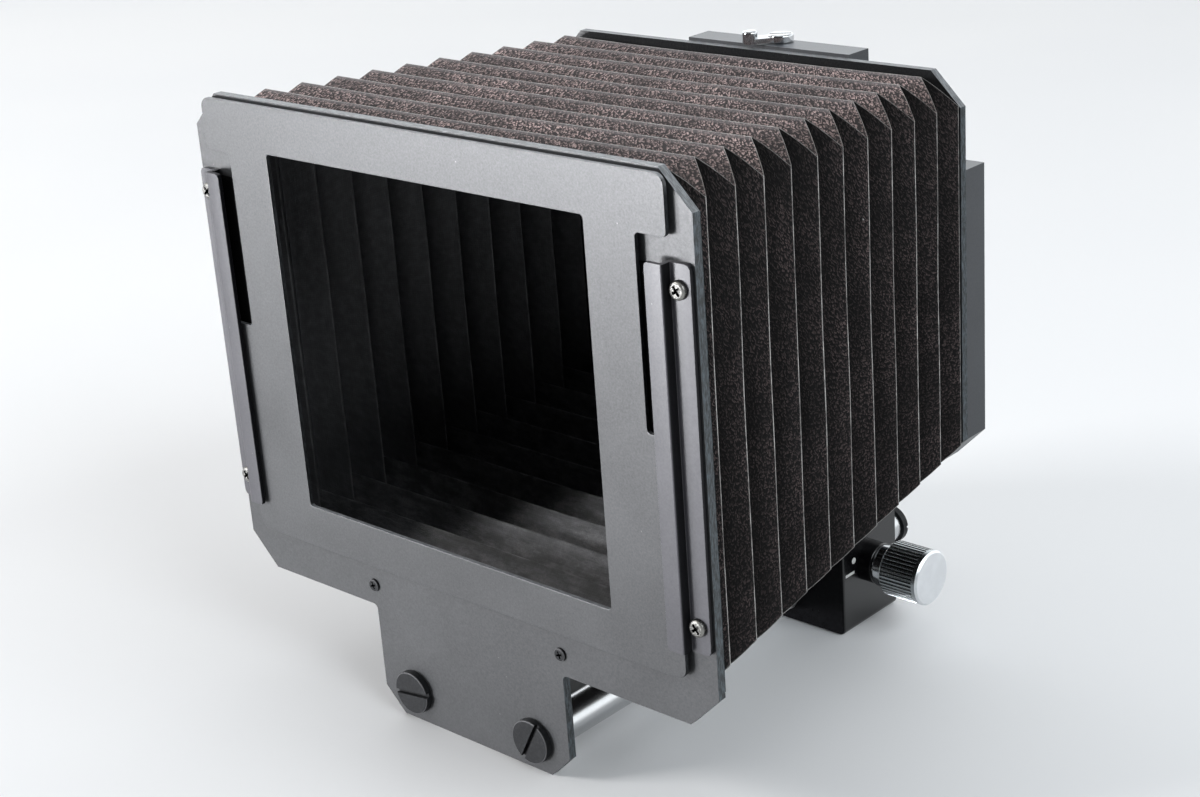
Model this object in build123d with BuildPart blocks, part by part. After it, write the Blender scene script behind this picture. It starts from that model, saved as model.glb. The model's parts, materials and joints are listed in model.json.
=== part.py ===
from build123d import *
import math
import os

# A bellows lens hood for a medium-format camera. Millimetres.
# Origin: the lens axis where the screw-in ring seats on the lens.
# +Y runs back towards the lens, +Z is up, +X is right seen from the front.

os.makedirs("parts", exist_ok=True)

# ---- driving dimensions ----
# Stations along the lens axis
FRONT_Y = -114.0          # front face of the front plate
BLOCK_Y0 = FRONT_Y + 85.0
BLOCK_Y1 = FRONT_Y + 106.0
REAR_Y = FRONT_Y + 102.5  # front face of the rear frame
REAR_FRAME_T = 2.0
HOUSING_Y = REAR_Y + REAR_FRAME_T
HOUSING_END = FRONT_Y + 112.3
ROD_END_Y = FRONT_Y + 129.0

# Front plate and the tab below it
PLATE_T = 2.0
PLATE_HALF = 70.0
PLATE_TOP = 51.2
PLATE_BOTTOM = -60.8
PLATE_CHAMFER = 7.5
TAB_HALF = 28.2
TAB_BOTTOM = -86.3
TAB_CHAMFER = 5.5

# Rods
ROD_R = 4.2
ROD_X = 18.2
ROD_Z = -79.2

# Rear standard
REAR_HALF = 58.1
REAR_Z = 45.7
REAR_CHAMFER = 7.4

# Screw places: (x, z) on upright planes
BOARD_SCREWS_LOW = [(TAB_HALF, -55.9), (-TAB_HALF, -55.9)]
BOARD_SCREWS_HIGH = [(TAB_HALF, 47.4), (-TAB_HALF, 47.4)]
BOARD_SCREWS = BOARD_SCREWS_LOW + BOARD_SCREWS_HIGH
RAIL_SCREW_X = 66.9
RAIL_SCREW_ZS = (29.4, -37.9)
RAIL_SCREWS = [(side * RAIL_SCREW_X, z) for side in (1, -1) for z in RAIL_SCREW_ZS]
ROD_POINTS = [(-ROD_X, ROD_Z), (ROD_X, ROD_Z)]

OVERCUT = 0.1             # how far a recess cutter stands outside the screw head


# ---- helpers ----
def at_x(x):
    """Upright plane across X: local axes Y and Z, normal +X."""
    return Plane.YZ.offset(x)


def at_y(y):
    """Upright plane across Y: local axes X and Z, normal -Y, so a negative extrusion runs back."""
    return Plane.XZ.offset(-y)


def at_z(z):
    """Level plane: local axes X and Y, normal +Z."""
    return Plane.XY.offset(z)


def mirrored(right_half):
    """Closed outline from its points at +X, taken in order."""
    return right_half + [(-x, z) for x, z in reversed(right_half)]


def chamfered_box(half, low, high, cut):
    """Corner points of an upright rectangle with cut-off corners."""
    return mirrored([(half - cut, low), (half, low + cut), (half, high - cut), (half - cut, high)])


def near(value, target):
    return abs(value - target) < 0.2


def edges_along_y(piece, test):
    """Edges parallel to Y whose centre passes test(distance from x = 0, z)."""
    return piece.edges().filter_by(Axis.Y).filter_by(
        lambda edge: test(abs(edge.center().X), edge.center().Z))


def outer_edges(piece, axis):
    """Edges of the flat faces that lie furthest along the axis."""
    return piece.faces().filter_by(axis).group_by(axis)[-1].edges()


def cross(length, width):
    """Cross recess, drawn in the sketch that is open."""
    Rectangle(length, width)
    Rectangle(width, length)


def headed_screws(seat, outward, spots, head_r, head_h, rounding, shank_r, shank_l,
                  recess_l, recess_w, recess_depth, slotted=False, turns=(0, 0, 0, 0)):
    """Screws with rounded cylindrical heads on the seat plane.

    outward is 1 where the heads stand along the plane's normal and -1 where they stand
    against it; turns are the angles of the recesses in degrees.
    """
    with BuildPart() as screws:
        with BuildSketch(seat), Locations(*spots):
            Circle(head_r)
        extrude(amount=outward * head_h)
        fillet(outer_edges(screws, Axis(seat.origin, seat.z_dir * outward)), radius=rounding)
        with BuildSketch(seat), Locations(*spots):
            Circle(shank_r)
        extrude(amount=-outward * shank_l)
        turned = [Location((u, v, 0), (0, 0, turn)) for (u, v), turn in zip(spots, turns)]
        with BuildSketch(seat.offset(outward * (head_h + OVERCUT))), Locations(*turned):
            if slotted:
                Rectangle(recess_l, recess_w)
            else:
                cross(recess_l, recess_w)
        extrude(amount=-outward * (recess_depth + OVERCUT), mode=Mode.SUBTRACT)
    return screws


# ======================= front standard =======================
PLATE_OPEN_X = 49.0       # half sizes of the plate's opening
PLATE_OPEN_Z = 44.0
RAIL_HOLE_R = 1.0
ROD_SCREW_HOLE_R = 2.15
BOARD_HOLE_R = 1.05
SINK_R = 2.05             # mouth of the countersink
SINK_DEPTH = 1.0

# Front plate: octagonal sheet with a tab below that carries the two rods.
plate_outline = mirrored([
    (TAB_HALF - TAB_CHAMFER, TAB_BOTTOM),
    (TAB_HALF, TAB_BOTTOM + TAB_CHAMFER),
    (TAB_HALF, PLATE_BOTTOM),
    (PLATE_HALF - PLATE_CHAMFER, PLATE_BOTTOM),
    (PLATE_HALF, PLATE_BOTTOM + PLATE_CHAMFER),
    (PLATE_HALF, PLATE_TOP - PLATE_CHAMFER),
    (PLATE_HALF - PLATE_CHAMFER, PLATE_TOP),
])
with BuildPart() as front_plate:
    with BuildSketch(at_y(FRONT_Y)):
        Polygon(*plate_outline, align=None)
        Rectangle(2 * PLATE_OPEN_X, 2 * PLATE_OPEN_Z, mode=Mode.SUBTRACT)
        with Locations(*ROD_POINTS):
            Circle(ROD_SCREW_HOLE_R, mode=Mode.SUBTRACT)
        with Locations(*BOARD_SCREWS_LOW):
            Circle(BOARD_HOLE_R, mode=Mode.SUBTRACT)
        with Locations(*RAIL_SCREWS):
            Circle(RAIL_HOLE_R, mode=Mode.SUBTRACT)
    extrude(amount=-PLATE_T)
    # countersunk holes for the two upper screws, which sit flush behind the mask
    for spot in BOARD_SCREWS_HIGH:
        for y, radius in ((FRONT_Y, SINK_R), (FRONT_Y + SINK_DEPTH, BOARD_HOLE_R)):
            with BuildSketch(at_y(y)), Locations(spot):
                Circle(radius)
        loft(mode=Mode.SUBTRACT)
        with BuildSketch(at_y(FRONT_Y + SINK_DEPTH)), Locations(spot):
            Circle(BOARD_HOLE_R)
        extrude(amount=-(PLATE_T - SINK_DEPTH), mode=Mode.SUBTRACT)
    fillet(edges_along_y(front_plate, lambda x, z: near(x, TAB_HALF) and near(z, PLATE_BOTTOM)),
           radius=1.2)

# Clamp frame that holds the front end of the bellows against the plate.
CLAMP_T = 1.0
CLAMP_OPEN_W = 112.0
CLAMP_OPEN_H = 98.0
CLAMP_OPEN_Z = -3.0       # centre of the opening
with BuildPart() as front_bellows_frame:
    with BuildSketch(at_y(FRONT_Y + PLATE_T)):
        Polygon(*chamfered_box(half=PLATE_HALF - 0.7, low=PLATE_BOTTOM + 0.6,
                               high=PLATE_TOP - 0.5, cut=PLATE_CHAMFER), align=None)
        with Locations((0, CLAMP_OPEN_Z)):
            Rectangle(CLAMP_OPEN_W, CLAMP_OPEN_H, mode=Mode.SUBTRACT)
        with Locations(*BOARD_SCREWS):
            Circle(0.9, mode=Mode.SUBTRACT)
        with Locations(*RAIL_SCREWS):
            Circle(RAIL_HOLE_R, mode=Mode.SUBTRACT)
    extrude(amount=-CLAMP_T)

# Mask: a sheet with a rectangular aperture, cut back at the sides so that it lifts out
# of the rails.
MASK_T = 1.0
MASK_GAP = 0.8            # mask to front plate
MASK_OPEN_X = 45.1        # half sizes of the aperture
MASK_OPEN_Z = 40.3
MASK_TOP = 50.6
MASK_BOTTOM = -50.1
MASK_EAR_HALF = 65.1
MASK_LOW_HALF = 63.6
MASK_NECK_HALF = 57.6
MASK_NECK_TOP = 38.9
MASK_NECK_BOTTOM = 0.0
mask_outline = mirrored([
    (MASK_LOW_HALF, MASK_BOTTOM),
    (MASK_LOW_HALF, MASK_NECK_BOTTOM),
    (MASK_NECK_HALF, MASK_NECK_BOTTOM),
    (MASK_NECK_HALF, MASK_NECK_TOP),
    (MASK_EAR_HALF, MASK_NECK_TOP),
    (MASK_EAR_HALF, MASK_TOP),
])
# Corner roundings in order: which corners, radius
mask_roundings = [
    (lambda x, z: x > MASK_OPEN_X + 5 and abs(z) > 50, 2.4),
    (lambda x, z: x > 60 and near(z, MASK_NECK_TOP), 1.0),
    (lambda x, z: x > 60 and near(z, MASK_NECK_BOTTOM), 0.8),
    (lambda x, z: near(x, MASK_NECK_HALF), 0.9),
    (lambda x, z: near(x, MASK_OPEN_X) and near(abs(z), MASK_OPEN_Z), 0.9),
]
with BuildPart() as mask_plate:
    with BuildSketch(at_y(FRONT_Y - MASK_GAP - MASK_T)):
        Polygon(*mask_outline, align=None)
        Rectangle(2 * MASK_OPEN_X, 2 * MASK_OPEN_Z, mode=Mode.SUBTRACT)
    extrude(amount=-MASK_T)
    for is_corner, radius in mask_roundings:
        fillet(edges_along_y(mask_plate, is_corner), radius=radius)

# Rails: folded sheet with a flange on the plate, a step wall, and a lip over the mask.
RAIL_T = 1.0
RAIL_TOP = 34.3
RAIL_BOTTOM = -43.5
RAIL_IN = 63.9            # inside of the step wall
RAIL_OUT = 69.6
RAIL_LIP_IN = 60.6
RAIL_LIP_GAP = 2.3        # lip to front plate


def rail(side):
    """Rail at the right (side 1) or left (side -1)."""
    wall_out = RAIL_IN + RAIL_T
    lip_y = FRONT_Y - RAIL_LIP_GAP
    profile = [
        (RAIL_OUT, FRONT_Y), (RAIL_IN, FRONT_Y), (RAIL_IN, lip_y), (RAIL_LIP_IN, lip_y),
        (RAIL_LIP_IN, lip_y - RAIL_T), (wall_out, lip_y - RAIL_T),
        (wall_out, FRONT_Y - RAIL_T), (RAIL_OUT, FRONT_Y - RAIL_T),
    ]
    with BuildPart() as piece:
        with BuildSketch(at_z(RAIL_BOTTOM)):
            Polygon(*[(side * x, y) for x, y in profile], align=None)
        extrude(amount=RAIL_TOP - RAIL_BOTTOM)
        fillet(edges_along_y(piece, lambda x, z: near(x, RAIL_OUT)), radius=1.2)
        fillet(edges_along_y(piece, lambda x, z: near(x, RAIL_LIP_IN)), radius=0.8)
        spots = [(side * RAIL_SCREW_X, z) for z in RAIL_SCREW_ZS]
        with BuildSketch(at_y(FRONT_Y - 1.5)), Locations(*spots):
            Circle(RAIL_HOLE_R)
        extrude(amount=-2, mode=Mode.SUBTRACT)
    return piece


left_rail = rail(-1)
right_rail = rail(1)

# Felt strips on the plate behind the mask: they keep light out and give the mask its friction.
FELT_T = 0.7
FELT_W = 6.5
FELT_H = 75.5
FELT_X = 60.05
FELT_Z = -4.75


def felt(side):
    with BuildPart() as piece:
        with BuildSketch(at_y(FRONT_Y - FELT_T)), Locations((side * FELT_X, FELT_Z)):
            Rectangle(FELT_W, FELT_H)
        extrude(amount=-FELT_T)
    return piece


left_felt = felt(-1)
right_felt = felt(1)

# Four pan-head cross-recess screws hold the rails.
rail_screws = headed_screws(
    seat=at_y(FRONT_Y - RAIL_T), outward=1, spots=RAIL_SCREWS,
    head_r=1.85, head_h=1.1, rounding=0.6, shank_r=0.95, shank_l=4.0,
    recess_l=2.2, recess_w=0.56, recess_depth=0.9, turns=(38, 38, 38, 38))

# Four screws hold the bellows frame: two in sight below the mask, two flush behind it.
BOARD_HEAD_R = 1.5
BOARD_HEAD_H = 0.6
BOARD_SHANK_R = 0.85
BOARD_SHANK_L = 3.0       # measured from the plate's front face
BOARD_FLUSH_R = 2.0
BOARD_FLUSH_Y = FRONT_Y + 0.02
BOARD_RECESS_TURN = 20    # degrees
with BuildPart() as board_screws:
    with BuildSketch(at_y(FRONT_Y - BOARD_HEAD_H)), Locations(*BOARD_SCREWS_LOW):
        Circle(BOARD_HEAD_R)
    extrude(amount=-BOARD_HEAD_H)
    fillet(outer_edges(board_screws, -Axis.Y), radius=0.35)
    for spot in BOARD_SCREWS_HIGH:
        for y, radius in ((BOARD_FLUSH_Y, BOARD_FLUSH_R),
                          (BOARD_FLUSH_Y + SINK_DEPTH, BOARD_SHANK_R)):
            with BuildSketch(at_y(y)), Locations(spot):
                Circle(radius)
        loft()
    # the flush screws' shanks start inside their heads
    for start, spots in ((0.0, BOARD_SCREWS_LOW), (0.5, BOARD_SCREWS_HIGH)):
        with BuildSketch(at_y(FRONT_Y + start)), Locations(*spots):
            Circle(BOARD_SHANK_R)
        extrude(amount=-(BOARD_SHANK_L - start))
    turned_spots = [Location((x, z, 0), (0, 0, BOARD_RECESS_TURN)) for x, z in BOARD_SCREWS]
    with BuildSketch(at_y(FRONT_Y - BOARD_HEAD_H - OVERCUT)), Locations(*turned_spots):
        cross(1.7, 0.4)
    extrude(amount=-1.15, mode=Mode.SUBTRACT)

# Two large slotted screws hold the rods to the tab.
rod_screws = headed_screws(
    seat=at_y(FRONT_Y), outward=1, spots=ROD_POINTS,
    head_r=5.0, head_h=1.7, rounding=0.35, shank_r=2.0, shank_l=9.0,
    recess_l=12, recess_w=1.0, recess_depth=0.9, slotted=True, turns=(8, 62))

# Rods: hard-chromed, drilled and tapped at both ends.
ROD_Y0 = FRONT_Y + PLATE_T


def rod(x):
    with BuildPart() as piece:
        with BuildSketch(at_y(ROD_Y0)), Locations((x, ROD_Z)):
            Circle(ROD_R)
        extrude(amount=-(ROD_END_Y - ROD_Y0))
        chamfer(piece.edges().filter_by(GeomType.CIRCLE), length=0.3)
        # end face, hole radius, depth along the plane's normal
        for y, radius, depth in ((ROD_Y0, 2.05, -10), (ROD_END_Y, 1.55, 8)):
            with BuildSketch(at_y(y)), Locations((x, ROD_Z)):
                Circle(radius)
            extrude(amount=depth, mode=Mode.SUBTRACT)
    return piece


left_rod = rod(-ROD_X)
right_rod = rod(ROD_X)

# End stops: wide-headed slotted screws in the rear ends of the rods.
rod_stops = headed_screws(
    seat=at_y(ROD_END_Y + 0.02), outward=-1, spots=ROD_POINTS,
    head_r=4.9, head_h=2.0, rounding=0.4, shank_r=1.5, shank_l=6.02,
    recess_l=11, recess_w=0.8, recess_depth=0.72, slotted=True)

# ======================= bellows =======================
# Rings alternate: even rings are tall and narrow, odd rings are short and wide, and
# straight panels join them.
HALF_PLEATS = 21
BELLOWS_Y0 = FRONT_Y + 3.05
BELLOWS_Y1 = FRONT_Y + 102.45
BELLOWS_WALL = 0.8
# (half width, lowest z, highest z) at the front end and at the rear end
TALL_RINGS = ((61.4, -56.4, 50.4), (50.7, -45.3, 45.3))
WIDE_RINGS = ((67.4, -50.1, 44.35), (57.9, -38.9, 38.5))


def ring_size(i):
    """Half width, lowest z and highest z of ring i, counted from the front."""
    front, rear = TALL_RINGS if i % 2 == 0 else WIDE_RINGS
    return [a + (b - a) * i / HALF_PLEATS for a, b in zip(front, rear)]


with BuildPart() as bellows:
    # the outer body, then the same body less the wall as its hollow
    for inset, mode in ((0.0, Mode.ADD), (BELLOWS_WALL, Mode.SUBTRACT)):
        for i in range(HALF_PLEATS + 1):
            half, low, high = ring_size(i)
            y = BELLOWS_Y0 + (BELLOWS_Y1 - BELLOWS_Y0) * i / HALF_PLEATS
            with BuildSketch(at_y(y)), Locations((0, (low + high) / 2)):
                Rectangle(2 * (half - inset), high - low - 2 * inset)
        loft(ruled=True, mode=mode)

# ======================= rear standard =======================
FRAME_SCREWS = [(50.5, 19.8), (-50.5, 19.8), (50.5, -32.0), (-50.5, -32.0)]
RETAINER_SCREWS = [(50.0, 12.5), (-50.0, 12.5), (50.0, -12.5), (-50.0, -12.5)]
BRACKET_SCREWS = [(-14, FRONT_Y + 110.2), (14, FRONT_Y + 110.2)]    # (x, y)
BLOCK_SCREWS = [(-14, -66.5), (14, -66.5)]
REAR_OPEN_R = 37.5
TAPPED_R = 1.05

with BuildPart() as rear_frame:
    with BuildSketch(at_y(REAR_Y)):
        Polygon(*chamfered_box(REAR_HALF, -REAR_Z, REAR_Z, REAR_CHAMFER), align=None)
        Circle(REAR_OPEN_R, mode=Mode.SUBTRACT)
        with Locations(*FRAME_SCREWS):
            Circle(1.1, mode=Mode.SUBTRACT)
    extrude(amount=-REAR_FRAME_T)

# Housing: carries the turning lens ring in a counterbore, the ring's lock on top, and the
# rod block below.
HOUSING_R = 45.6
WING_HALF = 58.0
WING_TOP = 24.2
COUNTERBORE_R = 43.0
COUNTERBORE_Y = HOUSING_Y + 3.0
PAD_X = 5.0               # pad under the lock lever
PAD_W = 46.0
PAD_H = 20.5
LEVER_X = 5.5
LEVER_Y = FRONT_Y + 109.2
LEVER_Z = 46.5            # top of the pad
LEVER_HOLE_Z = 40.0
housing_wings = mirrored([
    (WING_HALF, WING_TOP),
    (WING_HALF, -REAR_Z + REAR_CHAMFER),
    (WING_HALF - REAR_CHAMFER, -REAR_Z),
])
with BuildPart() as adapter_housing:
    with BuildSketch(at_y(HOUSING_Y)):
        Circle(HOUSING_R)
        Polygon(*housing_wings, align=None)
        with Locations((PAD_X, LEVER_Z - PAD_H / 2)):
            Rectangle(PAD_W, PAD_H)
    extrude(amount=-(HOUSING_END - HOUSING_Y))
    chamfer(adapter_housing.faces().sort_by(Axis.Y)[-1].edges(), length=0.5)
    with BuildSketch(at_y(HOUSING_Y)):
        Circle(REAR_OPEN_R)
    extrude(amount=-3.2, mode=Mode.SUBTRACT)
    with BuildSketch(at_y(COUNTERBORE_Y)):
        Circle(COUNTERBORE_R)
    extrude(amount=-6, mode=Mode.SUBTRACT)
    with BuildSketch(at_y(HOUSING_Y)), Locations(*FRAME_SCREWS):
        Circle(TAPPED_R)
    extrude(amount=-5, mode=Mode.SUBTRACT)
    with BuildSketch(at_y(HOUSING_END)), Locations(*RETAINER_SCREWS):
        Circle(TAPPED_R)
    extrude(amount=5, mode=Mode.SUBTRACT)
    # stepped hole for the ring lock: wide below for the shoe, narrow above for the lever's stem
    for radius, height in ((1.9, 5.3), (1.25, 10)):
        with BuildSketch(at_z(LEVER_HOLE_Z)), Locations((LEVER_X, LEVER_Y)):
            Circle(radius)
        extrude(amount=height, mode=Mode.SUBTRACT)
    # tapped holes in the bottom for the bracket
    with BuildSketch(at_z(-46.0)), Locations(*BRACKET_SCREWS):
        Circle(TAPPED_R)
    extrude(amount=2.0, mode=Mode.SUBTRACT)

frame_screws = headed_screws(
    seat=at_y(REAR_Y), outward=1, spots=FRAME_SCREWS,
    head_r=1.9, head_h=0.9, rounding=0.4, shank_r=1.0, shank_l=6.5,
    recess_l=2.0, recess_w=0.5, recess_depth=0.7)

# Retainer: keeps the lens ring's flange in the counterbore.
RETAINER_T = 1.5
RETAINER_R = 45.2
RETAINER_W = 109.0
RETAINER_H = 36.0
RETAINER_OPEN_R = 39.5
with BuildPart() as ring_retainer:
    with BuildSketch(at_y(HOUSING_END)):
        Circle(RETAINER_R)
        Rectangle(RETAINER_W, RETAINER_H)
        Circle(RETAINER_OPEN_R, mode=Mode.SUBTRACT)
    extrude(amount=-RETAINER_T)
    fillet(edges_along_y(ring_retainer, lambda x, z: x > 54), radius=3)
    for spot in RETAINER_SCREWS:
        for y, radius in ((HOUSING_END, 1.15), (HOUSING_END + RETAINER_T, 2.15)):
            with BuildSketch(at_y(y)), Locations(spot):
                Circle(radius)
        loft(mode=Mode.SUBTRACT)

# Countersunk screws for the retainer, heads to the rear.
RETAINER_SHANK_R = 1.0
with BuildPart() as retainer_screws:
    for spot in RETAINER_SCREWS:
        for y, radius in ((HOUSING_END + 0.08, RETAINER_SHANK_R), (HOUSING_END + 1.45, 2.0)):
            with BuildSketch(at_y(y)), Locations(spot):
                Circle(radius)
        loft()
    with BuildSketch(at_y(HOUSING_END + 0.5)), Locations(*RETAINER_SCREWS):
        Circle(RETAINER_SHANK_R)
    extrude(amount=5.0)
    with BuildSketch(at_y(HOUSING_END + 1.6)), Locations(*RETAINER_SCREWS):
        cross(2.2, 0.5)
    extrude(amount=0.8, mode=Mode.SUBTRACT)

# Lens ring: a flange that turns in the housing, a neck through the retainer, and the male
# thread.
RING_BORE_R = 36.5
RING_FLANGE_R = 42.95
RING_FLANGE_Y = COUNTERBORE_Y + 0.3
RING_NECK_R = 39.4
RING_NECK_Y = HOUSING_END - 1.0
RING_THREAD_R = 38.5      # 77 mm lens thread
RING_THREAD_L = 4.5
with BuildPart() as lens_ring:
    # outside radius, front, rear
    for radius, y0, y1 in ((RING_FLANGE_R, RING_FLANGE_Y, HOUSING_END - 0.1),
                           (RING_NECK_R, RING_NECK_Y, 0.0),
                           (RING_THREAD_R, 0.0, RING_THREAD_L)):
        with BuildSketch(at_y(y0)):
            Circle(radius)
            Circle(RING_BORE_R, mode=Mode.SUBTRACT)
        extrude(amount=-(y1 - y0))

# Ring lock: a brass shoe pressed on the ring's flange by the lever's stem.
with BuildPart() as ring_shoe:
    with BuildSketch(at_z(43.15)), Locations((LEVER_X, LEVER_Y)):
        Circle(1.85)
    extrude(amount=1.75)

# Lever: slotted hub, arm running to the front left, upright finger stud and a stem below.
ARM_Z = LEVER_Z + 0.45
with BuildPart() as lock_lever:
    with BuildSketch(at_z(LEVER_Z + 0.25)), Locations((LEVER_X, LEVER_Y)):
        Circle(3.0)
    extrude(amount=1.7)
    fillet(lock_lever.edges().filter_by(GeomType.CIRCLE).sort_by(Axis.Z)[-1], radius=0.5)
    with BuildSketch(at_z(ARM_Z)):
        with BuildLine():
            Polyline((LEVER_X + 1.5, LEVER_Y - 1.6), (LEVER_X - 2.9, LEVER_Y - 6.9),
                     (LEVER_X - 5.5, LEVER_Y - 5.0), (LEVER_X - 1.9, LEVER_Y + 1.2), close=True)
        make_face()
    extrude(amount=1.1)
    with BuildSketch(at_z(ARM_Z)), Locations((LEVER_X - 4.2, LEVER_Y - 5.9)):
        Circle(1.75)
    extrude(amount=2.9)
    fillet(lock_lever.edges().filter_by(GeomType.CIRCLE).sort_by(Axis.Z)[-1], radius=0.6)
    with BuildSketch(at_z(45.0)), Locations((LEVER_X, LEVER_Y)):
        Circle(1.2)
    extrude(amount=2.0)
    with BuildSketch(at_z(LEVER_Z + 2.0)), Locations(Location((LEVER_X, LEVER_Y, 0), (0, 0, 30))):
        Rectangle(5, 0.7)
    extrude(amount=-0.6, mode=Mode.SUBTRACT)

# Bracket: angle sheet from the housing down to the rear face of the rod block.
BRACKET_T = 1.8
BRACKET_HALF = 22.0
BRACKET_LOW = -73.0
BRACKET_REAR_Y = BLOCK_Y1 + BRACKET_T
BRACKET_FOOT_Z = -REAR_Z - BRACKET_T      # underside of the level leg
with BuildPart() as bracket:
    with BuildSketch(at_x(-BRACKET_HALF)):
        with BuildLine():
            Polyline((BLOCK_Y1, BRACKET_LOW), (BLOCK_Y1, -REAR_Z), (HOUSING_END, -REAR_Z),
                     (HOUSING_END, BRACKET_FOOT_Z), (BRACKET_REAR_Y, BRACKET_FOOT_Z),
                     (BRACKET_REAR_Y, BRACKET_LOW), close=True)
        make_face()
    extrude(amount=2 * BRACKET_HALF)
    fillet(edges_along_y(bracket, lambda x, z: z < BRACKET_LOW + 1), radius=3)
    with BuildSketch(at_z(BRACKET_FOOT_Z - 0.5)), Locations(*BRACKET_SCREWS):
        Circle(1.15)
    extrude(amount=3.0, mode=Mode.SUBTRACT)
    with BuildSketch(at_y(BLOCK_Y1 - 1)), Locations(*BLOCK_SCREWS):
        Circle(1.4)
    extrude(amount=-4.0, mode=Mode.SUBTRACT)

# Screws from below through the bracket into the housing.
bracket_screws = headed_screws(
    seat=at_z(BRACKET_FOOT_Z), outward=-1, spots=BRACKET_SCREWS,
    head_r=1.9, head_h=1.4, rounding=0.4, shank_r=1.0, shank_l=3.2,
    recess_l=2.2, recess_w=0.5, recess_depth=0.8)

# Screws from behind through the bracket into the rod block.
block_screws = headed_screws(
    seat=at_y(BRACKET_REAR_Y), outward=-1, spots=BLOCK_SCREWS,
    head_r=2.4, head_h=1.5, rounding=0.5, shank_r=1.2, shank_l=6.6,
    recess_l=2.8, recess_w=0.6, recess_depth=0.9)

# ======================= rod block and lock =======================
BLOCK_HALF = 36.6
BLOCK_TOP = -60.0
BLOCK_L = BLOCK_Y1 - BLOCK_Y0
SHAFT_Y = (BLOCK_Y0 + BLOCK_Y1) / 2
SHAFT_Z = -70.6
SHAFT_R = 2.7
SHAFT_BORE_R = SHAFT_R + 0.05
KNOB_FIT_R = SHAFT_R + 0.02
SHAFT_AXIS = (SHAFT_Y, SHAFT_Z)           # (y, z)
SHOE_SPOTS = [(-ROD_X, SHAFT_Y), (ROD_X, SHAFT_Y)]    # (x, y)

# Rod block: guides both rods in bushes; its cross shaft locks them.
with BuildPart() as rod_block:
    with BuildSketch(at_y(BLOCK_Y0)), Locations((0, (BLOCK_TOP + TAB_BOTTOM) / 2)):
        RectangleRounded(2 * BLOCK_HALF, BLOCK_TOP - TAB_BOTTOM, 1.6)
    extrude(amount=-BLOCK_L)
    fillet(rod_block.faces().sort_by(Axis.Y)[0].edges(), radius=0.7)
    with BuildSketch(at_y(BLOCK_Y0)), Locations(*ROD_POINTS):
        Circle(5.1)
    extrude(amount=-BLOCK_L, mode=Mode.SUBTRACT)
    # shaft bore, open at the right, and the knob bush's counterbore
    for x, radius, length in ((-31, SHAFT_BORE_R, 80), (BLOCK_HALF - 4, 4.0, 6)):
        with BuildSketch(at_x(x)), Locations(SHAFT_AXIS):
            Circle(radius)
        extrude(amount=length, mode=Mode.SUBTRACT)
    # shoe holes between rods and shaft
    with BuildSketch(at_z(ROD_Z)), Locations(*SHOE_SPOTS):
        Circle(2.05)
    extrude(amount=SHAFT_Z - ROD_Z, mode=Mode.SUBTRACT)
    # hole from below for the retaining screw
    with BuildSketch(at_z(TAB_BOTTOM)), Locations((0, SHAFT_Y)):
        Circle(1.55)
    extrude(amount=SHAFT_Z - TAB_BOTTOM, mode=Mode.SUBTRACT)
    with BuildSketch(at_y(BLOCK_Y1)), Locations(*BLOCK_SCREWS):
        Circle(1.25)
    extrude(amount=6, mode=Mode.SUBTRACT)

# Bushes for each rod at the front and rear of the block.
BUSH_L = 6.0
with BuildPart() as rod_bushes:
    for y in (BLOCK_Y0, BLOCK_Y1 - BUSH_L):
        with BuildSketch(at_y(y)), Locations(*ROD_POINTS):
            Circle(5.08)
            Circle(ROD_R + 0.06, mode=Mode.SUBTRACT)
        extrude(amount=-BUSH_L)

# Knob bush: flanged sleeve pressed in the block's right face.
SLEEVE_L = 3.9
with BuildPart() as knob_bush:
    # start, radius and length of the sleeve and of the flange
    for x, radius, length in ((BLOCK_HALF - SLEEVE_L, 3.97, SLEEVE_L), (BLOCK_HALF, 4.9, 3.6)):
        with BuildSketch(at_x(x)), Locations(SHAFT_AXIS):
            Circle(radius)
        extrude(amount=length)
    fillet(knob_bush.edges().filter_by(GeomType.CIRCLE).sort_by(Axis.X)[-1], radius=0.5)
    with BuildSketch(at_x(BLOCK_HALF - 5)), Locations(SHAFT_AXIS):
        Circle(SHAFT_BORE_R)
    extrude(amount=12, mode=Mode.SUBTRACT)

# Cross shaft: its two eccentric lands push the shoes down on the rods.
KNOB_X0 = 43.5
KNOB_X1 = 54.0
CAM_E = 0.25                      # eccentricity
CAM_R = 2.4
CAM_HALF = 2.6                    # half length of a land
CAM_REST = math.radians(150)      # angle of each land's high side from straight down, at rest
CAM_RISE = CAM_E * math.cos(CAM_REST)
CAM_AXIS = (SHAFT_Y + CAM_E * math.sin(CAM_REST), SHAFT_Z - CAM_RISE)
NECK_HALF = 2.0
NECK_R = 1.9
# (start x, end x) of the full-thickness lengths
shaft_spans = [
    (-30.5, -ROD_X - CAM_HALF), (-ROD_X + CAM_HALF, -NECK_HALF),
    (NECK_HALF, ROD_X - CAM_HALF), (ROD_X + CAM_HALF, KNOB_X0 + 6.5),
]
with BuildPart() as eccentric_shaft:
    for x0, x1 in shaft_spans:
        with BuildSketch(at_x(x0)), Locations(SHAFT_AXIS):
            Circle(SHAFT_R)
        extrude(amount=x1 - x0)
    for x in (-ROD_X, ROD_X):
        with BuildSketch(at_x(x - CAM_HALF)), Locations(CAM_AXIS):
            Circle(CAM_R)
        extrude(amount=2 * CAM_HALF)
    with BuildSketch(at_x(-NECK_HALF)), Locations(SHAFT_AXIS):
        Circle(NECK_R)
    extrude(amount=2 * NECK_HALF)

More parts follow.
